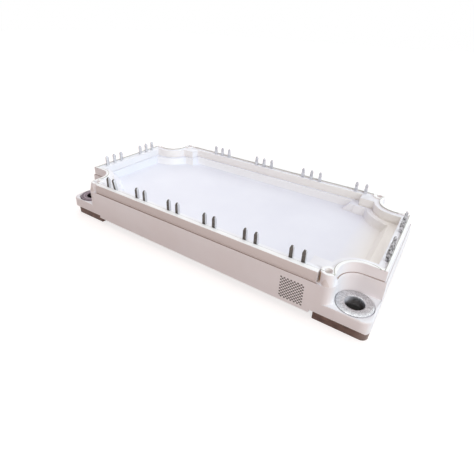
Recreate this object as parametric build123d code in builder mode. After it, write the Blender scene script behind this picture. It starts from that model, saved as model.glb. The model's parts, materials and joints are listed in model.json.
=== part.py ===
from build123d import *
from math import floor, sqrt
import os

os.makedirs("parts", exist_ok=True)

# A three-phase IGBT power module: six switches and six diodes on ceramic substrates, on a copper
# base plate, inside a moulded frame whose walls carry the pins. Millimetres, Z up. The origin is
# the middle of the mounting face, X runs along the long side, and the gate pins stand at -Y.

# Housing, outside
LENGTH = 122.0
WIDTH = 62.0
RIM_TOP = 17.0
CORNER_R = 3.0
EAR_TOP = 7.5
EAR_CHAMFER = 0.8
BAND_FOOT = 13.6
BAND_SET = 0.4
SKIRT_DROP = 0.25
SKIRT_CLEAR = 0.8
SKIRT_WALL_LONG = 4.8
SKIRT_WALL_END = 2.8

# Screw points
SCREW_INSET = 6.0
SCREW_HOLE_R = 2.75
BUSH_R = 5.3
BUSH_TOP = 7.65
BUSH_GAP = 0.15

# Posts for the circuit board's screws
POST_TO_SCREW = 7.8
POST_FOOT_R = 2.9
POST_R = 2.1
BAND_END = 2.2
POST_HOLE_R = 1.1
POST_HOLE_DEPTH = 8.0

# Housing, inside
LONG_WALL = 4.0
END_WALL = 3.45
ARC_WALL = 3.25
BUMP_SIDE = 6.0
BUMP_FRONT = 5.1
LIP_LONG = 1.8
LIP_END = 1.0
LIP_ARC = 1.15
STRIP_DROP = 0.5
LEDGE = 2.0
LOW_BUMP_SIDE = 4.2
BENCH_TOP = 6.2
BENCH_LONG = 3.2
BENCH_END = 3.25
CAVITY_CORNER = 2.15

# Lid
LID_GAP = 0.15
LID_SEAT = 8.8
LID_PLATE = 1.5
LID_TOP = 13.5
LID_BORDER = 1.2
LID_BORDER_ARC = 2.35
LID_BORDER_RIGHT = 3.0
LID_DRAFT = 7.0
LID_SLOPE = 2.0
LID_SLOPE_CHEEK = 0.5
LID_RAMP_REACH = 1.85
LID_RAMP = 2.5

# Base plate
PLATE_T = 3.0
PLATE_SET_LONG = 5.0
PLATE_SET_END = 3.0
PLATE_EAR_SET = 1.5
PLATE_EAR_SET_END = 0.3
PLATE_EAR_X = 15.5
PLATE_EAR_Y = 11.0
PLATE_EAR_R = 2.0
GLUE_T = 0.2
GLUE_W = 1.5

# Pins
PIN_PITCH = 3.81
PIN_W = 1.15
PIN_T = 1.0
PIN_TOP = 20.6
PIN_TIP = 0.8
PIN_TIP_TAPER = 18.0
PIN_ROW_INSET = 2.88
PIN_COLUMN_INSET = 2.0
FOOT_T = 0.8
FOOT_SETBACK = 0.6
THERMISTOR_PLACE = 2.5
BENT_LEAN = 0.8

# Substrates, dies and wires
SUBSTRATE_CLEAR_LONG = 2.05
SUBSTRATE_CLEAR_END = 3.8
SUBSTRATE_GAP = 1.25
SOLDER_T = 0.2
BACK_COPPER_T = 0.3
CERAMIC_T = 0.4
TOP_COPPER_T = 0.3
COPPER_EDGE = 1.0
TRACK_GAP = 0.8
PAD_ROW = 3.25
MINUS_ROW = 3.6
OUTPUT_BAR = 4.0
GATE_TRACK = 1.1
NECK = 2.6
IGBT_SIZE = 9.0
DIODE_SIZE = 7.5
DIE_T = 0.2
DIE_MARGIN = 0.6
DIE_SIDE_MARGIN = 1.9
DIE_SPACING = 2.6
THERMISTOR_SIZE = (3.2, 1.6, 0.9)
WIRE_D = 0.4
WIRE_FOOT = 0.7
WIRE_RISE = 0.9
WIRE_INSET = 1.2
GEL_TOP = 8.2

# Places that follow from the sizes
phases = ("left", "middle", "right")
SIGNS = [(i, j) for i in (-1, 1) for j in (-1, 1)]
half_x, half_y = LENGTH / 2, WIDTH / 2
screw_x, screw_y = half_x - SCREW_INSET, half_y - SCREW_INSET
post_x, post_y = screw_x - POST_TO_SCREW, half_y - POST_FOOT_R
pocket_r = BUSH_R + BUSH_GAP
seat_z = PLATE_T + GLUE_T
skirt_z = seat_z - SKIRT_DROP
strip_z = RIM_TOP - STRIP_DROP
lid_floor = LID_SEAT + LID_PLATE
ledge_x, ledge_y = half_x - END_WALL - LEDGE, half_y - LONG_WALL - LEDGE
cavity_x, cavity_y = ledge_x - BENCH_END, ledge_y - BENCH_LONG
pin_row_y = half_y - PIN_ROW_INSET
pin_column_x = half_x - PIN_COLUMN_INSET


def patch(x0, y0, x1, y1, mode=Mode.ADD):
    """A rectangle in the sketch, between two opposite corners."""
    with Locations(((x0 + x1) / 2, (y0 + y1) / 2)):
        Rectangle(abs(x1 - x0), abs(y1 - y0), mode=mode)


def corners(x, y):
    return [(i * x, j * y) for i, j in SIGNS]


def cut_screw_corners(wall_r):
    """Cuts the four corners back to a wall that follows the bush at wall_r from its axis."""
    far_x, far_y = half_x + 1, half_y + 1
    with Locations(*corners(screw_x, screw_y)):
        Circle(wall_r, mode=Mode.SUBTRACT)
    for i, j in SIGNS:
        patch(i * screw_x, j * (screw_y - wall_r), i * far_x, j * far_y, Mode.SUBTRACT)
        patch(i * (screw_x - wall_r), j * screw_y, i * far_x, j * far_y, Mode.SUBTRACT)


def wall_outline(inset, round_r, wall_end):
    """The housing above its ears: a rectangle cut back round the bushes, its long walls ending at
    wall_end, with a round of radius round_r at each post."""
    Rectangle(LENGTH - 2 * inset, WIDTH - 2 * inset)
    cut_screw_corners(pocket_r + inset)
    for i, j in SIGNS:
        patch(i * wall_end, j * post_y, i * (half_x + 1), j * (half_y + 1), Mode.SUBTRACT)
    with Locations(*corners(post_x, post_y)):
        Circle(round_r)


def cut_round_screws(wall_r, side, front):
    """Cuts an inner opening back round each bush, at wall_r, and round the block of each post."""
    for i, j in SIGNS:
        patch(i * side, j * front, i * half_x, j * half_y, Mode.SUBTRACT)
        patch(i * screw_x, j * (screw_y - wall_r), i * half_x, j * half_y, Mode.SUBTRACT)
    with Locations(*corners(screw_x, screw_y)):
        Circle(wall_r, mode=Mode.SUBTRACT)


def opening(margin):
    """The opening inside the rim, smaller by margin all round."""
    Rectangle(2 * (half_x - END_WALL - margin), 2 * (half_y - LONG_WALL - margin))
    side, front = post_x - BUMP_SIDE - margin, post_y - BUMP_FRONT - margin
    cut_round_screws(pocket_r + ARC_WALL + margin, side, front)


def low_opening():
    """The opening under the lid, above the benches that carry the pins' feet."""
    Rectangle(2 * ledge_x, 2 * ledge_y)
    cut_round_screws(pocket_r + ARC_WALL + LEDGE, post_x - LOW_BUMP_SIDE, cavity_y)


def cavity(margin=0.0):
    """The inner opening at the base, with its corners cut, larger by margin all round."""
    x, y = cavity_x + margin, cavity_y + margin
    clear = screw_x + screw_y - (pocket_r + CAVITY_CORNER - margin) * sqrt(2)
    with BuildLine() as edge:
        Polyline(
            *[(x, clear - x), (clear - y, y), (y - clear, y), (-x, clear - x)],
            *[(-x, x - clear), (y - clear, -y), (clear - y, -y), (x, x - clear)],
            close=True,
        )
    make_face(edge.line)


def place_pin(x, y, toward, lean=0.0):
    """One bent pin: a stem in the wall, a foot that lies inwards on the bench, a tapered tip."""
    tx, ty = toward
    along_row, across = (PIN_W, PIN_T) if tx == 0 else (PIN_T, PIN_W)
    bench_edge = cavity_y if tx == 0 else cavity_x
    reach = abs(x * tx + y * ty) - bench_edge - FOOT_SETBACK
    tip_z = PIN_TOP - PIN_TIP
    stem_top = tip_z if lean == 0 else strip_z
    with BuildSketch(Plane(origin=(x, y, 0), x_dir=(tx, ty, 0), z_dir=(ty, -tx, 0))) as profile:
        with BuildLine():
            Polyline(
                (-PIN_T / 2, BENCH_TOP),
                (reach, BENCH_TOP),
                (reach, BENCH_TOP + FOOT_T),
                (PIN_T / 2, BENCH_TOP + FOOT_T),
                (PIN_T / 2, stem_top),
                (-PIN_T / 2, stem_top),
                close=True,
            )
        make_face()
    extrude(profile.sketch, amount=PIN_W / 2, both=True)
    if lean:
        with BuildSketch(Plane.XY.offset(strip_z)) as low:
            with Locations((x, y)):
                Rectangle(along_row, across)
        with BuildSketch(Plane.XY.offset(tip_z)) as high:
            with Locations((x + lean, y)):
                Rectangle(along_row, across)
        loft(sections=[low.sketch, high.sketch])
    with BuildSketch(Plane.XY.offset(tip_z)) as tip:
        with Locations((x + lean, y)):
            Rectangle(along_row, across)
    extrude(tip.sketch, amount=PIN_TIP, taper=PIN_TIP_TAPER)


def row(steps, side):
    """Places of pins on the long walls: side is -1 for the front and 1 for the back."""
    return [(s * PIN_PITCH, side * pin_row_y, (0, -side)) for s in steps]


def column(steps, side):
    """Places of pins on the end walls: side is -1 for the left and 1 for the right."""
    return [(side * pin_column_x, s * PIN_PITCH, (-side, 0)) for s in steps]


# Pins, by name: where each stands and which way its foot points. The groups spread over the room
# that the frame leaves between its corners, in whole steps of the pitch.
row_reach = post_x - LOW_BUMP_SIDE - PIN_W / 2
column_reach = screw_y - (pocket_r + ARC_WALL + LEDGE) - PIN_W / 2
group_steps = floor((row_reach / PIN_PITCH - 1) / THERMISTOR_PLACE)
last_column_step = floor(column_reach / PIN_PITCH - 0.5) + 0.5
pin_places = {}
for n in range(6):
    middle_step = (n - 2.5) * group_steps
    pin_places[f"gate_pins_{n + 1}"] = row((middle_step - 0.5, middle_step + 0.5), -1)
for n, phase in enumerate(phases):
    first_step = (1.5 * n - 2) * group_steps
    pin_places[f"phase_pins_{phase}"] = row((first_step, first_step + 1, first_step + 2), 1)
thermistor_step = THERMISTOR_PLACE * group_steps
pin_places["thermistor_pins"] = row((thermistor_step, thermistor_step + 1), 1)
for side_name, side in (("left", -1), ("right", 1)):
    outward = (last_column_step - 2, last_column_step - 1, last_column_step)
    pin_places[f"dc_pins_{side_name}_front"] = column([-step for step in outward], side)
    pin_places[f"dc_pins_{side_name}_back"] = column(outward, side)
gate_places = [place for name, places in pin_places.items() if "gate" in name for place in places]
bent_pin = gate_places[1]

pins = {}
for name, places in pin_places.items():
    with BuildPart() as pin_group:
        for place in places:
            place_pin(*place, lean=-BENT_LEAN if place == bent_pin else 0.0)
    pins[name] = pin_group.part


# Housing frame: one moulding, with its ears, walls, posts, lid ledge and benches
with BuildPart() as housing:
    with BuildSketch(Plane.XY.offset(seat_z)):
        RectangleRounded(LENGTH, WIDTH, CORNER_R)
    extrude(amount=EAR_TOP - seat_z)
    with BuildSketch(Plane.YZ):
        for side in (-1, 1):
            with Locations((side * half_y, seat_z)):
                Rectangle(EAR_CHAMFER * sqrt(2), EAR_CHAMFER * sqrt(2), rotation=45)
    extrude(amount=half_x, both=True, mode=Mode.SUBTRACT)
    with BuildSketch(Plane.XY.offset(skirt_z)):
        skirt_x = half_x - PLATE_EAR_SET_END - PLATE_EAR_X - SKIRT_CLEAR
        skirt_y = half_y - PLATE_EAR_SET - PLATE_EAR_Y - SKIRT_CLEAR
        for side in (-1, 1):
            patch(-skirt_x, side * (half_y - SKIRT_WALL_LONG), skirt_x, side * half_y)
            patch(side * (half_x - SKIRT_WALL_END), -skirt_y, side * half_x, skirt_y)
    extrude(amount=SKIRT_DROP + EAR_CHAMFER)
    with BuildSketch(Plane.XY.offset(EAR_TOP)):
        wall_outline(0, POST_FOOT_R, post_x)
    extrude(amount=BAND_FOOT - EAR_TOP)
    with BuildSketch(Plane.XY.offset(BAND_FOOT)):
        wall_outline(BAND_SET, POST_R, post_x - BAND_END)
    extrude(amount=RIM_TOP - BAND_FOOT)
    with BuildSketch(Plane.XY.offset(strip_z)):
        lip_x, lip_y = half_x - BAND_SET - LIP_END, half_y - BAND_SET - LIP_LONG
        Rectangle(2 * lip_x, 2 * lip_y)
        cut_screw_corners(pocket_r + BAND_SET + LIP_ARC)
        with Locations(*corners(post_x, post_y)):
            Circle(POST_R, mode=Mode.SUBTRACT)
    extrude(amount=STRIP_DROP, mode=Mode.SUBTRACT)
    with BuildSketch(Plane.XY.offset(LID_SEAT)):
        opening(0)
    extrude(amount=RIM_TOP - LID_SEAT, mode=Mode.SUBTRACT)
    with BuildSketch(Plane.XY.offset(BENCH_TOP)):
        low_opening()
    extrude(amount=LID_SEAT - BENCH_TOP, mode=Mode.SUBTRACT)
    with BuildSketch(Plane.XY.offset(seat_z)):
        cavity()
    extrude(amount=BENCH_TOP - seat_z, mode=Mode.SUBTRACT)
    with Locations(*[(x, y, EAR_TOP) for x, y in corners(screw_x, screw_y)]):
        Hole(pocket_r, depth=EAR_TOP - skirt_z)
    with Locations(*[(x, y, RIM_TOP) for x, y in corners(post_x, post_y)]):
        Hole(POST_HOLE_R, depth=POST_HOLE_DEPTH)
    add(list(pins.values()), mode=Mode.SUBTRACT)
housing.part.label = "housing_frame"
export_step(housing.part, "parts/housing_frame.step")


# Lid: a shallow tray that drops in on the ledge, with a sloped right end and a ramp in its corners
border_x = half_x - END_WALL - LID_GAP
border_y = half_y - LONG_WALL - LID_GAP
tray_arc_r = pocket_r + ARC_WALL + LID_GAP + LID_BORDER_ARC
slope_top = border_x - LID_BORDER_RIGHT
slope_foot = slope_top - LID_SLOPE
tray_side = post_x - BUMP_SIDE - LID_GAP - LID_BORDER
tray_front = post_y - BUMP_FRONT - LID_GAP - LID_BORDER
ramp_top = tray_side - LID_RAMP_REACH
with BuildPart() as lid:
    with BuildSketch(Plane.XY.offset(LID_SEAT)):
        opening(LID_GAP)
    extrude(amount=LID_TOP - LID_SEAT)
    with BuildSketch(Plane.XY.offset(LID_TOP)):
        patch(-border_x + LID_BORDER, -border_y + LID_BORDER, slope_foot, border_y - LID_BORDER)
        cut_round_screws(tray_arc_r, tray_side, tray_front)
    extrude(amount=-(LID_TOP - lid_floor), taper=LID_DRAFT, mode=Mode.SUBTRACT)
    with BuildSketch(Plane.XZ):
        with BuildLine():
            Polyline(
                (slope_foot - LID_SLOPE, lid_floor),
                (slope_foot, lid_floor),
                (slope_top, LID_TOP),
                (slope_foot - LID_SLOPE, LID_TOP),
                close=True,
            )
        make_face()
    extrude(amount=screw_y - tray_arc_r - LID_SLOPE_CHEEK, both=True, mode=Mode.SUBTRACT)
    for side in (-1, 1):
        with BuildSketch(Plane.XZ.offset(-side * tray_front)):
            with BuildLine():
                Polyline(
                    (ramp_top - LID_RAMP, lid_floor),
                    (tray_side + LID_BORDER, lid_floor),
                    (tray_side + LID_BORDER, LID_TOP),
                    (ramp_top, LID_TOP),
                    close=True,
                )
            make_face()
        extrude(amount=-side * (border_y - tray_front))
lid.part.label = "lid"
export_step(lid.part, "parts/lid.step")


# Base plate: narrower between the four ears that the screws hold down
with BuildPart() as base_plate:
    with BuildSketch() as plate_outline:
        Rectangle(2 * (half_x - PLATE_SET_END), 2 * (half_y - PLATE_SET_LONG))
        for i, j in SIGNS:
            out_x, out_y = half_x - PLATE_EAR_SET_END, half_y - PLATE_EAR_SET
            patch(i * (out_x - PLATE_EAR_X), j * (out_y - PLATE_EAR_Y), i * out_x, j * out_y)
        ends = plate_outline.vertices().group_by(Axis.X)
        ear_corners = (ends[0] + ends[-1]).filter_by(lambda corner: abs(corner.Y) > screw_y)
        fillet(ear_corners, PLATE_EAR_R)
    extrude(amount=PLATE_T)
    with Locations(*[(x, y, PLATE_T) for x, y in corners(screw_x, screw_y)]):
        Hole(SCREW_HOLE_R)
base_plate.part.label = "base_plate"
export_step(base_plate.part, "parts/base_plate.step")


# Bushes: steel rings that carry the screws' clamping force to the plate
with BuildPart() as bushes:
    with BuildSketch(Plane.XY.offset(PLATE_T)):
        with Locations(*corners(screw_x, screw_y)):
            Circle(BUSH_R)
            Circle(SCREW_HOLE_R, mode=Mode.SUBTRACT)
    extrude(amount=BUSH_TOP - PLATE_T)
bushes.part.label = "bushes"
export_step(bushes.part, "parts/bushes.step")


# Seal: the adhesive bead between the frame and the plate
with BuildPart() as seal_bead:
    with BuildSketch(Plane.XY.offset(PLATE_T)):
        cavity(GLUE_W)
    extrude(amount=GLUE_T)
    with BuildSketch(Plane.XY.offset(PLATE_T)):
        cavity()
    extrude(amount=GLUE_T, mode=Mode.SUBTRACT)
seal_bead.part.label = "seal_bead"
export_step(seal_bead.part, "parts/seal_bead.step")


# Pins
for name, group in pins.items():
    group.label = name
    export_step(group, f"parts/{name}.step")


# Substrates: three alike, one for each phase
substrate_x = (2 * (cavity_x - SUBSTRATE_CLEAR_END) - 2 * SUBSTRATE_GAP) / 3
substrate_y = 2 * (cavity_y - SUBSTRATE_CLEAR_LONG)
substrate_pitch = substrate_x + SUBSTRATE_GAP
back_z = PLATE_T + SOLDER_T
ceramic_z = back_z + BACK_COPPER_T
copper_z = ceramic_z + CERAMIC_T
die_z = copper_z + TOP_COPPER_T
die_top = die_z + DIE_T
inner = []


def slab(name, centre_x, length, width, low_z, thickness):
    with BuildPart() as layer:
        with BuildSketch(Plane.XY.offset(low_z)):
            with Locations((centre_x, 0)):
                Rectangle(length, width)
        extrude(amount=thickness)
    keep(name, layer.part)


def keep(name, solid):
    """Labels and writes a piece that lies in the gel."""
    solid.label = name
    export_step(solid, f"parts/{name}.step")
    inner.append(solid)


# Track edges, from the middle of a substrate
edge_x, edge_y = substrate_x / 2 - COPPER_EDGE, substrate_y / 2 - COPPER_EDGE
pads_top = -edge_y + PAD_ROW
minus_low, minus_top = pads_top + TRACK_GAP, pads_top + TRACK_GAP + MINUS_ROW
output_low = edge_y - OUTPUT_BAR
plus_top = output_low - TRACK_GAP
plus_low = plus_top - IGBT_SIZE - 2 * DIE_MARGIN
switch_low, switch_top = minus_top + TRACK_GAP, plus_low - TRACK_GAP
track_x = -edge_x + GATE_TRACK + TRACK_GAP
plus_x = track_x + NECK + TRACK_GAP
igbt_x = plus_x + DIE_SIDE_MARGIN + IGBT_SIZE / 2
diode_x = igbt_x + IGBT_SIZE / 2 + DIE_SPACING + DIODE_SIZE / 2
high_y = plus_top - DIE_MARGIN - IGBT_SIZE / 2
low_y = switch_low + DIE_MARGIN + IGBT_SIZE / 2
thermistor_x = diode_x


def gate_pad_edges():
    """Left and right edge of each of the four gate pads."""
    width = (2 * edge_x - 3 * TRACK_GAP) / 4
    starts = [-edge_x + n * (width + TRACK_GAP) for n in range(4)]
    return [(start, start + width) for start in starts]


def top_copper(centre_x, with_thermistor):
    with BuildPart() as copper:
        with BuildSketch(Plane((centre_x, 0, copper_z))):
            for low_x, high_x in gate_pad_edges():
                patch(low_x, -edge_y, high_x, pads_top)
            patch(-edge_x, pads_top, -edge_x + GATE_TRACK, plus_top)
            patch(track_x, minus_low, edge_x, minus_top)
            patch(track_x, switch_low, edge_x, switch_top)
            patch(track_x, switch_top, track_x + NECK, output_low)
            patch(plus_x, plus_low, edge_x, plus_top)
            if with_thermistor:
                half_gap = TRACK_GAP / 2
                pad_x = THERMISTOR_SIZE[0]
                patch(track_x, output_low, thermistor_x - pad_x - TRACK_GAP, edge_y)
                patch(thermistor_x - pad_x, output_low, thermistor_x - half_gap, edge_y)
                patch(thermistor_x + half_gap, output_low, thermistor_x + pad_x, edge_y)
            else:
                patch(track_x, output_low, edge_x, edge_y)
        extrude(amount=TOP_COPPER_T)
    return copper.part


def die(name, x, y, size):
    with BuildPart() as chip:
        with BuildSketch(Plane.XY.offset(die_z)):
            with Locations((x, y)):
                Rectangle(size, size)
        extrude(amount=DIE_T)
    keep(name, chip.part)


def bond_wire(start, end):
    """One wire as a low arch with wedge ends, from start to end on the surfaces it lands on."""
    a, b = Vector(*start), Vector(*end)
    run = Vector(b.X - a.X, b.Y - a.Y, 0)
    span, along = run.length, run.normalized()
    top = max(a.Z, b.Z) + WIRE_RISE
    across = along.cross(Vector(0, 0, 1))
    with BuildSketch(Plane(origin=(a.X, a.Y, 0), x_dir=along, z_dir=across)) as arch:
        with BuildLine():
            Polyline(
                (0, a.Z),
                (span / 2, top - WIRE_D),
                (span, b.Z),
                (span / 2, top),
                close=True,
            )
        make_face()
    extrude(arch.sketch, amount=WIRE_D / 2, both=True)


def spread(centre, size, count):
    """Even places for count wires across a track."""
    return [centre + size * ((n + 0.5) / count - 0.5) for n in range(count)]


def foot_point(place):
    """Where a wire lands on a pin's foot."""
    x, y, (tx, ty) = place
    z = BENCH_TOP + FOOT_T
    if tx == 0:
        return (x, -ty * (cavity_y + FOOT_SETBACK + WIRE_FOOT), z)
    return (-tx * (cavity_x + FOOT_SETBACK + WIRE_FOOT), y, z)


# Each substrate stands at its phase's place, with its dies and the wires that land on it
for n, phase in enumerate(phases):
    centre_x = (n - 1) * substrate_pitch
    slab(f"base_solder_{phase}", centre_x, 2 * edge_x, 2 * edge_y, PLATE_T, SOLDER_T)
    slab(f"back_copper_{phase}", centre_x, 2 * edge_x, 2 * edge_y, back_z, BACK_COPPER_T)
    slab(f"ceramic_{phase}", centre_x, substrate_x, substrate_y, ceramic_z, CERAMIC_T)
    keep(f"top_copper_{phase}", top_copper(centre_x, phase == "right"))
    for level, y in (("high", high_y), ("low", low_y)):
        die(f"igbt_{level}_{phase}", centre_x + igbt_x, y, IGBT_SIZE)
        die(f"diode_{level}_{phase}", centre_x + diode_x, y, DIODE_SIZE)

with BuildPart() as thermistor:
    with BuildSketch(Plane.XY.offset(die_z)):
        with Locations((substrate_pitch + thermistor_x, (output_low + edge_y) / 2)):
            Rectangle(THERMISTOR_SIZE[0], THERMISTOR_SIZE[1])
    extrude(amount=THERMISTOR_SIZE[2])
keep("thermistor", thermistor.part)


def chip_wires(centre_x):
    """Wires from the dies to the next track, and from the gate tracks to the switches."""
    for x in (centre_x + igbt_x + WIRE_INSET, centre_x + diode_x):
        bond_wire((x, high_y, die_top), (x, switch_top - WIRE_FOOT, die_z))
        bond_wire((x, low_y, die_top), (x, minus_top - WIRE_INSET, die_z))
    gate_y = high_y - IGBT_SIZE / 4
    gate_start = centre_x - edge_x + (GATE_TRACK - WIRE_FOOT) / 2
    gate_end = centre_x + igbt_x - IGBT_SIZE / 2 + WIRE_INSET
    bond_wire((gate_start, gate_y, die_z), (gate_end, gate_y, die_top))
    x = centre_x + igbt_x - WIRE_INSET
    bond_wire((x, pads_top - WIRE_INSET, die_z), (x, low_y - IGBT_SIZE / 2 + WIRE_INSET, die_top))


def gate_wires(centre_x, places):
    for place, (low_x, high_x) in zip(places, gate_pad_edges()):
        pad = (centre_x + (low_x + high_x) / 2, (pads_top - edge_y) / 2, die_z)
        bond_wire(foot_point(place), pad)


def output_wires(centre_x, places):
    """Wires from the phase pins to the output bar, moved along it where the bar starts late."""
    shift = max(0, centre_x + track_x + WIRE_INSET - places[0][0])
    for place in places:
        bond_wire(foot_point(place), (place[0] + shift, output_low + WIRE_INSET, die_z))


def supply_wires(centre_x, side, minus_places, plus_places):
    """Wires from the supply pins on an end wall to the minus and plus tracks."""
    if side > 0:
        minus_x = plus_wire_x = centre_x + edge_x - WIRE_INSET
    else:
        minus_x, plus_wire_x = centre_x + track_x + WIRE_INSET, centre_x + plus_x + WIRE_INSET
    rows = spread((minus_low + minus_top) / 2, MINUS_ROW, len(minus_places))
    for place, y in zip(minus_places, rows):
        bond_wire(foot_point(place), (minus_x, y, die_z))
    for place in plus_places:
        bond_wire(foot_point(place), (plus_wire_x, place[1], die_z))


def thermistor_wires(places):
    for place, side in zip(places, (-1, 1)):
        x = substrate_pitch + thermistor_x + side * (THERMISTOR_SIZE[0] - WIRE_INSET / 2)
        bond_wire(foot_point(place), (x, output_low + WIRE_INSET, die_z))


for n, phase in enumerate(phases):
    centre_x = (n - 1) * substrate_pitch
    with BuildPart() as wires:
        chip_wires(centre_x)
        gate_wires(centre_x, gate_places[4 * n:4 * n + 4])
        output_wires(centre_x, pin_places[f"phase_pins_{phase}"])
        if phase != "middle":
            front, back = pin_places[f"dc_pins_{phase}_front"], pin_places[f"dc_pins_{phase}_back"]
            supply_wires(centre_x, n - 1, front, back)
        if phase == "right":
            thermistor_wires(pin_places["thermistor_pins"])
    keep(f"bond_wires_{phase}", wires.part)


# Silicone gel: fills the frame to above the wires, under the lid
with BuildPart() as gel:
    with BuildSketch(Plane.XY.offset(PLATE_T)):
        cavity()
    extrude(amount=BENCH_TOP - PLATE_T)
    with BuildSketch(Plane.XY.offset(BENCH_TOP)):
        low_opening()
    extrude(amount=GEL_TOP - BENCH_TOP)
    add(list(pins.values()) + inner, mode=Mode.SUBTRACT)
gel.part.label = "silicone_gel"
export_step(gel.part, "parts/silicone_gel.step")
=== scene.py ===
import json
from math import radians

import bpy
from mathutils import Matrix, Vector

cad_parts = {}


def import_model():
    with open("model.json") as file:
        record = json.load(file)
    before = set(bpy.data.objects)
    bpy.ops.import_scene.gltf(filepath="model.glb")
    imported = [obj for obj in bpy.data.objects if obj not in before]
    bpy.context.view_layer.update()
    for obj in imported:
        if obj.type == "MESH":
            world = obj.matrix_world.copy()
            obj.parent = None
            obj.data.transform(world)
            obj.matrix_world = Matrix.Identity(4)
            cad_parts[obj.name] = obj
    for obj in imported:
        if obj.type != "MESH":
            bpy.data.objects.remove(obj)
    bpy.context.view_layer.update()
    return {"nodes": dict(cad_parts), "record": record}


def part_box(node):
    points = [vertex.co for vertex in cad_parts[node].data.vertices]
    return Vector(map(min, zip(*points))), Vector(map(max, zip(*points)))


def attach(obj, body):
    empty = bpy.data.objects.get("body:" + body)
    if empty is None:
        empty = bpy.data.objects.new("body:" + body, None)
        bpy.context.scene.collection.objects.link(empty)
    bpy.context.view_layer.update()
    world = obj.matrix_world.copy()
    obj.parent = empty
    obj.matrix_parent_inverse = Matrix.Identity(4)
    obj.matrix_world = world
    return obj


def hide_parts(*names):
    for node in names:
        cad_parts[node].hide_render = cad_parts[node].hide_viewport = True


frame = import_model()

MM = 0.001

# Camera: solved from the photograph on the module's known sizes
CAMERA_PLACE = (0.066085, -0.106288, 0.075517)
CAMERA_TURN = (63.5231, -2.2969, 32.9384)
CAMERA_LENS = 27.005
CAMERA_SHIFT = (-0.0007, -0.0837)

# Studio: the floor's own colour and the light of the room, as linear values, and how the floor's
# glow grows with the distance from the module, in metres
WHITE = (1.0, 1.0, 1.0, 1.0)
FLOOR_TONE = (0.5, 0.44, 0.42, 1.0)
ROOM_LIGHT = (0.345, 0.294, 0.284, 1.0)
GLOW_NEAR, GLOW_FAR = 0.1, 0.4
GLOW_ENDS = (0.7, 1.0)

# Edges: how near loose points are joined, and how far each kind of edge is rounded
WELD = 0.002 * MM
MOULD_EDGE = 0.16 * MM
EAR_EDGE = 0.4 * MM
LID_EDGE = 0.18 * MM
PLATE_EDGE = 0.12 * MM
BUSH_EDGE = 0.28 * MM
PIN_EDGE = 0.07 * MM
SHARP_ANGLE = radians(32)

# Housing: its outline, the inner faces of its walls, its levels, its lip, its slots and its posts
HALF_X, HALF_Y = 61.0 * MM, 31.0 * MM
WALL_X, WALL_Y = 57.7 * MM, 27.2 * MM
EAR_X, SKIN_Y = 49.0 * MM, 29.5 * MM
HIDDEN_BELOW = 9.1 * MM
SKIRT_EDGE = 3.25 * MM
EAR_TOP = 7.5 * MM
EAR_CORNER = 3.0 * MM
BAND_FOOT, RIM_TOP = 13.6 * MM, 17.0 * MM
LIP_X, LIP_Y, LIP_ARC_R = 59.6 * MM, 28.8 * MM, 7.0 * MM
LIP_LINE = 0.22 * MM
SLOT_X = (45.03 * MM, 45.75 * MM)
POST_X, POST_Y, POST_R, POST_FOOT_R = 47.2 * MM, 28.1 * MM, 2.1 * MM, 2.9 * MM
FLARE_R = POST_FOOT_R - 0.04 * MM
FLARE_FROM_SLOT, FLARE_FROM_WALL = 1.5 * MM, 1.2 * MM
FOOT_START, FOOT_RUN_OUT = POST_X - 0.1 * MM, 48.9 * MM

# Nearness: how close an edge or point lies to the level, ring or outline that it is on
ON_LEVEL, ON_RING = 0.05 * MM, 0.03 * MM
ON_BAND_FOOT = 0.02 * MM

# Screws: where the bushes stand, and the rings turned in the browned one
SCREW_X, SCREW_Y = 55.0 * MM, 25.0 * MM
BUSH_REACH, RING_WIDTH = 6.0 * MM, 0.55 * MM

# Tones: where the housing's, the lid's, the bushes' and the plate's colours change, and where their painted
# light and shade lie
STRIP_FROM, RIM_LEVEL = 12.0 * MM, RIM_TOP - 0.25 * MM
BAND_SKIN_Y = HALF_Y - 0.5 * MM
INNER_X, INNER_Y, BAY_REACH = WALL_X + 0.3 * MM, WALL_Y + 0.3 * MM, 8.0 * MM
BOUNCE_X, BOUNCE_SOFT = 22.0 * MM, 20.0 * MM
LINE_FADE = (60.2 * MM, 60.5 * MM)
SLOT_Y = (28.3 * MM, 30.3 * MM)
WARM_BOUNCE_X, WARM_BOUNCE_SOFT = 49.0 * MM, 5.0 * MM
BORE_FADE, BORE_LIT_FROM = (4.4 * MM, 7.3 * MM), 5.6 * MM
LIT_END_X = (57.0 * MM, 61.5 * MM)

# Raster: a plain chequered field on the front wall
RASTER_X = (34.9 * MM, 42.2 * MM)
RASTER_Z = (4.2 * MM, 11.5 * MM)
RASTER_Y = -30.9 * MM
RASTER_CELLS = 14


# Meshes

def deselect():
    bpy.ops.object.select_all(action="DESELECT")


def make_active(piece):
    deselect()
    piece.select_set(True)
    bpy.context.view_layer.objects.active = piece


def merged_copy(node, name):
    """A copy of a CAD node with its loose triangles joined, which stands for the node."""
    source = frame["nodes"][node]
    piece = source.copy()
    piece.data = source.data.copy()
    piece.name = name
    bpy.context.scene.collection.objects.link(piece)
    make_active(piece)
    bpy.ops.mesh.customdata_custom_splitnormals_clear()
    bpy.ops.object.mode_set(mode="EDIT")
    bpy.ops.mesh.select_all(action="SELECT")
    bpy.ops.mesh.remove_doubles(threshold=WELD)
    bpy.ops.object.mode_set(mode="OBJECT")
    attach(piece, "root")
    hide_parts(node)
    return piece


def select_edges(piece, wanted):
    """Selects the sharp edges whose middle is wanted."""
    make_active(piece)
    bpy.ops.object.mode_set(mode="EDIT")
    bpy.ops.mesh.select_mode(type="EDGE")
    bpy.ops.mesh.select_all(action="DESELECT")
    bpy.ops.mesh.edges_select_sharp(sharpness=SHARP_ANGLE)
    bpy.ops.object.mode_set(mode="OBJECT")
    points = piece.data.vertices
    for edge in piece.data.edges:
        middle = (points[edge.vertices[0]].co + points[edge.vertices[1]].co) / 2
        edge.select = edge.select and wanted(middle)


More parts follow.
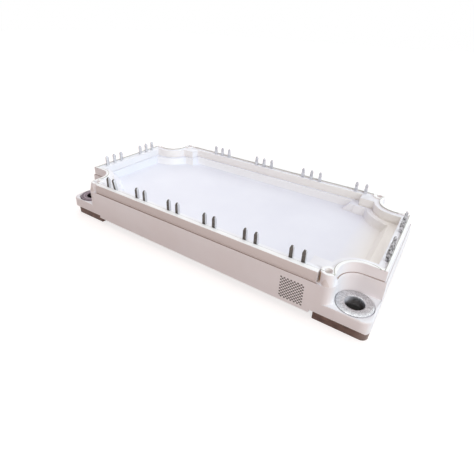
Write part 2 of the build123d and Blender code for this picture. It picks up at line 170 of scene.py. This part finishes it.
def round_edges(piece, width, left_sharp=None):
    """Rounds the sharp edges, but not those whose middle left_sharp picks out."""
    select_edges(piece, lambda middle: not (left_sharp and left_sharp(middle)))
    bpy.ops.object.mode_set(mode="EDIT")
    bpy.ops.mesh.bevel(offset=width, segments=2, affect="EDGES", clamp_overlap=False)
    bpy.ops.object.mode_set(mode="OBJECT")
    bpy.ops.object.shade_smooth_by_angle(angle=SHARP_ANGLE)


def flare_posts(piece):
    """Widens each post's lower end towards its foot, but not beside the slot or where the wall joins it."""
    for point in piece.data.vertices:
        out_x, out_y = abs(point.co.x) - POST_X, abs(point.co.y) - POST_Y
        on_ring = abs((out_x ** 2 + out_y ** 2) ** 0.5 - POST_R) < ON_RING
        if on_ring and abs(point.co.z - BAND_FOOT) < ON_BAND_FOOT:
            clear_of_slot = min(max(out_x / FLARE_FROM_SLOT + 1, 0.0), 1.0)
            clear_of_wall = min(max(out_y / FLARE_FROM_WALL, 0.0), 1.0)
            widen = 1 + clear_of_slot * clear_of_wall * (FLARE_R / POST_R - 1)
            point.co.x = (POST_X + out_x * widen) * (1 if point.co.x > 0 else -1)
            point.co.y = (POST_Y + out_y * widen) * (1 if point.co.y > 0 else -1)


def from_outline(middle):
    """How far inside the ears' common outline a point is, with its rounded corners."""
    past_x = abs(middle.x) - (HALF_X - EAR_CORNER)
    past_y = abs(middle.y) - (HALF_Y - EAR_CORNER)
    if past_x > 0 and past_y > 0:
        return EAR_CORNER - (past_x ** 2 + past_y ** 2) ** 0.5
    return min(HALF_X - abs(middle.x), HALF_Y - abs(middle.y))


def ear_rim(middle):
    """True for the outer top edges of the ears, clear of the posts' feet."""
    at_top = abs(middle.z - EAR_TOP) < ON_LEVEL
    return at_top and from_outline(middle) < ON_LEVEL and abs(middle.x) > FOOT_RUN_OUT


def round_ears(piece):
    """Cuts the ears' edges where the posts' feet run out, and rounds the ears from there."""
    make_active(piece)
    for side in (-1, 1):
        bpy.ops.object.mode_set(mode="EDIT")
        bpy.ops.mesh.select_all(action="SELECT")
        bpy.ops.mesh.bisect(plane_co=(side * FOOT_RUN_OUT, 0, 0), plane_no=(1, 0, 0))
        bpy.ops.object.mode_set(mode="OBJECT")
    select_edges(piece, ear_rim)
    bpy.ops.object.mode_set(mode="EDIT")
    bpy.ops.mesh.bevel(offset=EAR_EDGE, segments=3, affect="EDGES", clamp_overlap=False)
    bpy.ops.object.mode_set(mode="OBJECT")


def keep_in_box(piece, node):
    """Brings points that a bevel has pushed out back to the CAD node's box."""
    low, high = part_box(node)
    for point in piece.data.vertices:
        for axis in range(3):
            point.co[axis] = min(max(point.co[axis], low[axis]), high[axis])


def inside_housing(middle):
    """True for edges that the lid, the wall round a pin or a post's hole hides, and at a post's foot."""
    under_lid = abs(middle.x) < WALL_X and abs(middle.y) < WALL_Y and middle.z < HIDDEN_BELOW
    in_post = abs(middle.x) < EAR_X and abs(middle.y) < SKIN_Y and middle.z < HIDDEN_BELOW
    outside_walls = abs(middle.x) > WALL_X or abs(middle.y) > WALL_Y
    beside_pin = outside_walls and any(
        low.x < middle.x < high.x and low.y < middle.y < high.y for low, high in pin_boxes
    )
    from_post = ((abs(middle.x) - POST_X) ** 2 + (abs(middle.y) - POST_Y) ** 2) ** 0.5
    post_ring = abs(middle.z - BAND_FOOT) < ON_BAND_FOOT and from_post < POST_FOOT_R + ON_BAND_FOOT
    ear_level = abs(middle.z - EAR_TOP) < ON_LEVEL
    at_foot = ear_level and FOOT_START < abs(middle.x) < FOOT_RUN_OUT and abs(middle.y) > SKIN_Y
    return under_lid or in_post or beside_pin or at_foot or post_ring or middle.z < SKIRT_EDGE


# Materials

def node_in(tree, kind, **sockets):
    """Adds a node and sets its input sockets by name; underscores stand for spaces."""
    node = tree.nodes.new(kind)
    for name, value in sockets.items():
        node.inputs[name.replace("_", " ")].default_value = value
    return node


def new_material(name, roughness=0.5, metallic=0.0):
    material = bpy.data.materials.new(name)
    material.use_nodes = True
    shader = material.node_tree.nodes["Principled BSDF"]
    shader.inputs["Roughness"].default_value = roughness
    shader.inputs["Metallic"].default_value = metallic
    return material, material.node_tree, shader


def colour(red, green, blue):
    """A colour from its sRGB values of 0 to 255, as linear values."""
    def linear(value):
        part = value / 255
        return part / 12.92 if part <= 0.04045 else ((part + 0.055) / 1.055) ** 2.4
    return (linear(red), linear(green), linear(blue), 1.0)


def object_coordinates(tree):
    return tree.nodes.new("ShaderNodeTexCoord").outputs["Object"]


def noise(tree, size, detail=3.0, roughness=0.5):
    """Noise whose patches are about size metres across."""
    node = node_in(tree, "ShaderNodeTexNoise", Scale=1 / size, Detail=detail, Roughness=roughness)
    tree.links.new(object_coordinates(tree), node.inputs["Vector"])
    return node.outputs["Fac"]


def blend(tree, factor, first, second):
    """Mixes two colours, each a colour or a socket, by a socket."""
    node = tree.nodes.new("ShaderNodeMix")
    node.data_type = "RGBA"
    tree.links.new(factor, node.inputs["Factor"])
    ends = [socket for socket in node.inputs if socket.type == "RGBA"]
    for socket, value in zip(ends, (first, second)):
        if isinstance(value, tuple):
            socket.default_value = value
        else:
            tree.links.new(value, socket)
    return [socket for socket in node.outputs if socket.type == "RGBA"][0]


def remap(tree, value, low, high, to_low, to_high):
    node = node_in(tree, "ShaderNodeMapRange", From_Min=low, From_Max=high, To_Min=to_low, To_Max=to_high)
    tree.links.new(value, node.inputs["Value"])
    return node.outputs["Result"]


def math(tree, operation, first, second):
    node = tree.nodes.new("ShaderNodeMath")
    node.operation = operation
    for socket, value in zip(node.inputs, (first, second)):
        if isinstance(value, (int, float)):
            socket.default_value = value
        else:
            tree.links.new(value, socket)
    return node.outputs["Value"]


def unsigned(tree, value):
    return math(tree, "ABSOLUTE", value, 0.0)


def without(tree, mask):
    """1 where a mask is 0, and 0 where it is 1."""
    return math(tree, "SUBTRACT", 1.0, mask)


def patchy(tree, patch, low, high):
    """A value that drifts between two ends, in patches about patch metres across."""
    return remap(tree, noise(tree, patch), 0.3, 0.7, low, high)


def grain(tree, shader, size, depth, strength=1.0):
    """Fine relief over the whole surface."""
    bump = node_in(tree, "ShaderNodeBump", Strength=strength, Distance=depth)
    tree.links.new(noise(tree, size, 4.0), bump.inputs["Height"])
    tree.links.new(bump.outputs["Normal"], shader.inputs["Normal"])


def steps(tree, value, edge, soft):
    """0 below an edge and 1 above it, over a soft width."""
    return remap(tree, value, edge - soft, edge + soft, 0.0, 1.0)


def between(tree, value, low, high, soft):
    """1 between two edges and 0 outside them."""
    past_high = steps(tree, value, high, soft)
    return math(tree, "MULTIPLY", steps(tree, value, low, soft), without(tree, past_high))


def every(tree, first, *others):
    """The product of several masks."""
    for other in others:
        first = math(tree, "MULTIPLY", first, other)
    return first


def distance(tree, along, across):
    squares = [math(tree, "MULTIPLY", part, part) for part in (along, across)]
    return math(tree, "SQRT", math(tree, "ADD", *squares), 0.0)


def axes(tree, vector):
    split = tree.nodes.new("ShaderNodeSeparateXYZ")
    tree.links.new(vector, split.inputs["Vector"])
    return split.outputs["X"], split.outputs["Y"], split.outputs["Z"]


def facing(tree):
    """Which way the surface faces: its normal along X, Y and Z."""
    return axes(tree, tree.nodes.new("ShaderNodeNewGeometry").outputs["Normal"])


def drifting(tree, patch, first, second):
    """A colour that drifts between two tones in patches."""
    return blend(tree, patchy(tree, patch, 0.0, 1.0), first, second)


def mottled(name, tones, patch, rough, grain_size, grain_depth, metallic=0.0):
    """A finish that drifts between two tones and two roughnesses, with a fine grain. Sizes in millimetres."""
    material, tree, shader = new_material(name, metallic=metallic)
    first, second = (colour(*tone) for tone in tones)
    tree.links.new(drifting(tree, patch * MM, first, second), shader.inputs["Base Color"])
    tree.links.new(patchy(tree, patch * MM / 3, *rough), shader.inputs["Roughness"])
    grain(tree, shader, grain_size * MM, grain_depth * MM)
    return material


def housing_plastic():
    """Pale glass-filled moulding with painted light by facing, on the inner walls and on the tops, painted
    shade lines in the step under the band and along the lip, painted shade in the slots, and a raster on the
    front wall.
    """
    material, tree, shader = new_material("housing_plastic")
    x, y, z = axes(tree, object_coordinates(tree))
    _, facing_y, facing_up = facing(tree)
    level = steps(tree, facing_up, 0.5, 0.1)
    side_x, side_y = (unsigned(tree, part) for part in (x, y))
    from_post, from_screw = (
        distance(tree, math(tree, "SUBTRACT", side_x, middle_x), math(tree, "SUBTRACT", side_y, middle_y))
        for middle_x, middle_y in ((POST_X, POST_Y), (SCREW_X, SCREW_Y))
    )
    # Painted light: faces along Y take a warm, pinker tone for the warm light on the long walls, and all
    # other faces take a cool one for the cool light from above
    cool_lit_tone = drifting(tree, 9 * MM, colour(240, 239, 243), colour(245, 244, 247))
    warm_lit_tone = drifting(tree, 9 * MM, colour(247, 237, 235), colour(250, 242, 241))
    facing_long = steps(tree, unsigned(tree, facing_y), 0.5, 0.3)
    plain = blend(tree, facing_long, cool_lit_tone, warm_lit_tone)
    band_skin = every(
        tree,
        steps(tree, side_y, BAND_SKIN_Y, 0.05 * MM),
        steps(tree, z, BAND_FOOT, 0.05 * MM),
        without(tree, level),
    )
    plain = blend(tree, band_skin, plain, colour(235, 222, 217))
    # Painted light: the inner long walls, clear of the screw bays, are painted nearly white for the light
    # thrown back onto them
    inner_long_walls = every(
        tree,
        without(tree, steps(tree, side_x, INNER_X, 0.1 * MM)),
        without(tree, steps(tree, side_y, INNER_Y, 0.1 * MM)),
        steps(tree, from_screw, BAY_REACH, 0.2 * MM),
        facing_long,
    )
    painted_bounce = blend(tree, steps(tree, x, BOUNCE_X, BOUNCE_SOFT), colour(254, 250, 247), colour(255, 252, 246))
    plain = blend(tree, inner_long_walls, plain, painted_bounce)
    # Painted light: up-facing faces above the strip level take a cool white for the light from above, and the
    # rim's top takes a near-white painted highlight
    strip = every(tree, level, steps(tree, z, STRIP_FROM, MM))
    plain = blend(tree, strip, plain, colour(245, 245, 250))
    rim = every(tree, level, steps(tree, z, RIM_LEVEL, 0.1 * MM))
    plain = blend(tree, rim, plain, colour(254, 254, 254))
    # Painted shade: a dark line on the shelf in the step under the band, clear of the posts and fainter at
    # the end walls
    step_shade_line = every(
        tree,
        between(tree, z, BAND_FOOT - 0.06 * MM, BAND_FOOT + 0.12 * MM, 0.02 * MM),
        level,
        steps(tree, from_post, POST_FOOT_R + 0.3 * MM, 0.3 * MM),
        remap(tree, side_x, *LINE_FADE, 1.0, 0.5),
    )
    shade_lined = blend(tree, step_shade_line, plain, colour(158, 138, 130))
    # Painted shade: a thin dark line at the lip's inner edge, along the straight sides and round the screw
    # bays
    along_lip = math(
        tree, "MAXIMUM",
        between(tree, side_x, LIP_X - 0.05 * MM, LIP_X + LIP_LINE, 0.03 * MM),
        between(tree, side_y, LIP_Y - 0.05 * MM, LIP_Y + LIP_LINE, 0.03 * MM),
    )
    round_lip = between(tree, from_screw, LIP_ARC_R - LIP_LINE, LIP_ARC_R + 0.05 * MM, 0.03 * MM)
    on_lip = steps(tree, z, RIM_LEVEL, 0.03 * MM)
    lip_shade_line = every(tree, math(tree, "MAXIMUM", along_lip, round_lip), on_lip)
    shade_lined = blend(tree, lip_shade_line, shade_lined, colour(186, 186, 176))
    # Painted shade: the slots beside the posts are painted a dark beige
    slot_shade = every(
        tree,
        between(tree, side_x, *SLOT_X, 0.04 * MM),
        between(tree, side_y, *SLOT_Y, 0.1 * MM),
        between(tree, z, BAND_FOOT, RIM_TOP - 0.5 * MM, 0.1 * MM),
    )
    shade_lined = blend(tree, slot_shade, shade_lined, colour(188, 156, 118))
    cell = (RASTER_X[1] - RASTER_X[0]) / RASTER_CELLS
    column, line = (
        math(tree, "FLOOR", math(tree, "DIVIDE", math(tree, "SUBTRACT", part, start), cell), 0.0)
        for part, start in ((x, RASTER_X[0]), (z, RASTER_Z[0]))
    )
    on_raster = every(
        tree,
        math(tree, "PINGPONG", math(tree, "ADD", column, line), 1.0),
        math(tree, "LESS_THAN", y, RASTER_Y),
        between(tree, x, *RASTER_X, 0.02 * MM),
        between(tree, z, *RASTER_Z, 0.02 * MM),
    )
    tree.links.new(blend(tree, on_raster, shade_lined, colour(96, 84, 82)), shader.inputs["Base Color"])
    tree.links.new(patchy(tree, 3 * MM, 0.36, 0.5), shader.inputs["Roughness"])
    grain(tree, shader, 0.35 * MM, 0.02 * MM, 0.35)
    return material


def lid_plastic():
    """Cool white moulding of the lid, with painted light on its long walls and painted warm reflected light
    towards its right end.
    """
    material, tree, shader = new_material("lid_plastic")
    x = axes(tree, object_coordinates(tree))[0]
    facing_y = facing(tree)[1]
    cool = drifting(tree, 14 * MM, colour(235, 236, 246), colour(239, 240, 249))
    # Painted light: the lid's faces along Y are painted nearly white
    lit_long_sides = steps(tree, unsigned(tree, facing_y), 0.5, 0.2)
    cool = blend(tree, lit_long_sides, cool, colour(255, 254, 255))
    # Painted light: warm reflected light is painted towards the lid's right end
    warm_bounce = blend(tree, steps(tree, x, WARM_BOUNCE_X, WARM_BOUNCE_SOFT), cool, colour(249, 245, 239))
    tree.links.new(warm_bounce, shader.inputs["Base Color"])
    tree.links.new(patchy(tree, 5 * MM, 0.38, 0.46), shader.inputs["Roughness"])
    grain(tree, shader, 0.6 * MM, 0.01 * MM)
    return material


def bush_steel():
    """Speckled steel with painted shade down the bore and painted light on the bore's left side, browned in
    rings on the front left bush.
    """
    material, tree, shader = new_material("bush_steel")
    x, y, z = axes(tree, object_coordinates(tree))
    top = drifting(tree, 0.7 * MM, colour(204, 204, 207), colour(237, 237, 240))
    speckle = remap(tree, noise(tree, 0.22 * MM, 6.0, 0.7), 0.45, 0.6, 0.0, 0.65)
    top = blend(tree, speckle, top, colour(112, 112, 114))
    out = distance(tree, math(tree, "ADD", x, SCREW_X), math(tree, "ADD", y, SCREW_Y))
    ring = math(tree, "PINGPONG", math(tree, "DIVIDE", out, RING_WIDTH), 1.0)
    browned = blend(tree, ring, colour(66, 52, 58), colour(128, 113, 121))
    front_left = math(tree, "LESS_THAN", out, BUSH_REACH)
    top = blend(tree, front_left, top, browned)
    # Painted shade: the bore darkens with depth
    bore_shade = remap(tree, z, *BORE_FADE, 1.0, 0.0)
    bore_shade_and_light = blend(tree, bore_shade, top, colour(46, 45, 45))
    facing_x, _, facing_up = facing(tree)
    # Painted light: the bore wall that faces +X is painted pale and less metallic, except on the front left
    # bush
    lit_bore_side = every(
        tree,
        steps(tree, facing_x, 0.6, 0.25),
        steps(tree, z, BORE_LIT_FROM, 0.8 * MM),
        without(tree, steps(tree, facing_up, 0.3, 0.1)),
        without(tree, front_left),
    )
    bore_shade_and_light = blend(tree, lit_bore_side, bore_shade_and_light, colour(224, 222, 228))
    tree.links.new(bore_shade_and_light, shader.inputs["Base Color"])
    tree.links.new(remap(tree, lit_bore_side, 0.0, 1.0, 1.0, 0.2), shader.inputs["Metallic"])
    tree.links.new(patchy(tree, 0.3 * MM, 0.28, 0.5), shader.inputs["Roughness"])
    grain(tree, shader, 0.25 * MM, 0.03 * MM)
    return material


def plate_copper():
    """Dark oxidised copper, with painted light towards the right ears' ends."""
    material, tree, shader = new_material("plate_copper", metallic=0.6)
    x = axes(tree, object_coordinates(tree))[0]
    dark = drifting(tree, 2 * MM, colour(88, 67, 60), colour(116, 90, 80))
    # Painted light: lighter towards the right ends
    lit_end = remap(tree, x, *LIT_END_X, 0.0, 0.5)
    tree.links.new(blend(tree, lit_end, dark, colour(168, 152, 146)), shader.inputs["Base Color"])
    tree.links.new(patchy(tree, 0.8 * MM, 0.4, 0.6), shader.inputs["Roughness"])
    grain(tree, shader, 0.3 * MM, 0.02 * MM)
    return material


def shaded_pins():
    """Front pins painted in shade, with a painted highlight on their faces along X."""
    material, tree, shader = new_material("pin_shaded", metallic=0.5)
    # Painted highlight on the faces along X, over a painted shaded tone on the other faces
    edge = steps(tree, unsigned(tree, facing(tree)[0]), 0.6, 0.1)
    shaded_tone = drifting(tree, 0.9 * MM, colour(112, 106, 101), colour(76, 71, 68))
    tree.links.new(blend(tree, edge, shaded_tone, colour(206, 206, 210)), shader.inputs["Base Color"])
    tree.links.new(patchy(tree, 0.3 * MM, 0.38, 0.55), shader.inputs["Roughness"])
    grain(tree, shader, 0.3 * MM, 0.03 * MM)
    return material


def gel_material():
    """Clear silicone, a little milky."""
    material = mottled("clear_gel", ((214, 219, 224), (206, 212, 219)), 8, (0.12, 0.2), 4, 0.02)
    material.node_tree.nodes["Principled BSDF"].inputs["Alpha"].default_value = 0.35
    return material


MATERIALS = {
    "housing_plastic": housing_plastic(),
    "lid_plastic": lid_plastic(),
    "plate_copper": plate_copper(),
    "bush_steel": bush_steel(),
    "pin_tin": mottled("pin_bright", ((228, 228, 232), (184, 184, 190)), 0.9, (0.3, 0.5), 0.3, 0.03, 0.5),
    "pin_shaded": shaded_pins(),
    "pin_mottled": mottled("pin_mottled", ((38, 36, 35), (226, 226, 230)), 0.7, (0.3, 0.5), 0.3, 0.04, 0.6),
    "solder": mottled("solder", ((150, 150, 156), (180, 180, 184)), 1.5, (0.35, 0.5), 0.5, 0.03, 1.0),
    "track_copper": mottled("track_copper", ((190, 112, 80), (206, 132, 98)), 3, (0.3, 0.45), 0.4, 0.01, 1.0),
    "ceramic": mottled("ceramic", ((236, 236, 230), (228, 228, 222)), 3, (0.5, 0.65), 0.2, 0.01),
    "silicon": mottled("silicon", ((52, 55, 62), (70, 72, 82)), 2, (0.12, 0.2), 0.4, 0.002, 0.6),
    "thermistor_body": mottled("thermistor_body", ((70, 58, 48), (92, 76, 64)), 1, (0.3, 0.45), 0.3, 0.01),
    "wire_aluminium": mottled(
        "wire_aluminium", ((200, 200, 202), (222, 222, 224)), 0.6, (0.3, 0.4), 0.2, 0.01, 1.0
    ),
    "gel": gel_material(),
    "sealant": mottled("sealant", ((188, 188, 184), (202, 202, 198)), 2, (0.45, 0.6), 0.6, 0.05),
}


def wear(piece, material):
    piece.data.materials.clear()
    piece.data.materials.append(material)


def finish_of(node, slot):
    """The finish of a node: the front pins are painted in shade with painted highlights, and the right-hand
    ones blotched.
    """
    if node.startswith("gate_pins"):
        return MATERIALS["pin_shaded"]
    if node.startswith("dc_pins_right"):
        return MATERIALS["pin_mottled"]
    return MATERIALS[slot]


# Pieces: the seen nodes with their edges rounded, and every other node in its own finish
slots = {part["node"]: part["material_slot"] for part in frame["record"]["subparts"]}
pin_nodes = [node for node in slots if "_pins" in node]
pin_boxes = [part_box(node) for node in pin_nodes]
edges = {"housing_frame": MOULD_EDGE, "lid": LID_EDGE, "base_plate": PLATE_EDGE, "bushes": BUSH_EDGE}
edges.update({node: PIN_EDGE for node in pin_nodes})
for node, slot in slots.items():
    finish = finish_of(node, slot)
    if node in edges:
        piece = merged_copy(node, f"{node}_finished")
        if node == "housing_frame":
            flare_posts(piece)
            round_ears(piece)
        round_edges(piece, edges[node], inside_housing if node == "housing_frame" else None)
        keep_in_box(piece, node)
        wear(piece, finish)
    wear(frame["nodes"][node], finish)


# Studio: a pale floor, soft light and the camera

def lamp(name, place, size, power, tint):
    """A square soft box that faces the module."""
    turn = Vector(place).to_track_quat("Z", "Y").to_euler()
    bpy.ops.object.light_add(type="AREA", location=place, rotation=turn)
    light = bpy.context.object
    light.name = name
    light.data.size = size
    light.data.energy = power
    light.data.color = tint


def seen_directly(tree):
    """1 for what the camera sees itself, in gloss or through glass, and 0 for what lights the object."""
    path = tree.nodes.new("ShaderNodeLightPath")
    direct = math(tree, "MAXIMUM", path.outputs["Is Camera Ray"], path.outputs["Is Glossy Ray"])
    return math(tree, "MAXIMUM", direct, path.outputs["Is Transmission Ray"])


def floor():
    deselect()
    bpy.ops.mesh.primitive_plane_add(size=3.0, location=(0, 0, 0))
    sheet = bpy.context.object
    sheet.name = "studio_floor"
    material, tree, shader = new_material("studio_floor", roughness=0.9)
    shader.inputs["Base Color"].default_value = FLOOR_TONE
    shader.inputs["Emission Color"].default_value = WHITE
    x, y, _ = axes(tree, object_coordinates(tree))
    glow = remap(tree, distance(tree, x, y), GLOW_NEAR, GLOW_FAR, *GLOW_ENDS)
    tree.links.new(every(tree, seen_directly(tree), glow), shader.inputs["Emission Strength"])
    wear(sheet, material)


def world():
    scene = bpy.context.scene
    scene.world = bpy.data.worlds.new("studio")
    scene.world.use_nodes = True
    tree = scene.world.node_tree
    background = tree.nodes["Background"]
    tint = blend(tree, seen_directly(tree), ROOM_LIGHT, WHITE)
    tree.links.new(tint, background.inputs["Color"])
    scene.view_settings.view_transform = "Standard"


def camera():
    bpy.ops.object.camera_add(location=CAMERA_PLACE, rotation=[radians(angle) for angle in CAMERA_TURN])
    eye = bpy.context.object
    eye.data.lens = CAMERA_LENS
    eye.data.sensor_width = 36
    eye.data.shift_x, eye.data.shift_y = CAMERA_SHIFT
    eye.data.clip_start = 5 * MM
    bpy.context.scene.camera = eye


floor()
world()
camera()
lamp("top_box", (0.0, 0.0, 0.6), 0.5, 0.86, (0.95, 1.0, 1.0))
lamp("right_box", (0.5, 0.05, 0.28), 0.4, 1.15, (0.74, 0.93, 1.0))
lamp("front_box", (0.42, -0.35, 0.3), 0.4, 1.09, (0.94, 0.97, 1.0))
lamp("left_back_box", (-0.4, 0.35, 0.38), 0.4, 0.7, (0.96, 0.95, 1.0))
lamp("back_box", (0.1, 0.5, 0.3), 0.4, 0.62, (0.9, 1.0, 1.0))
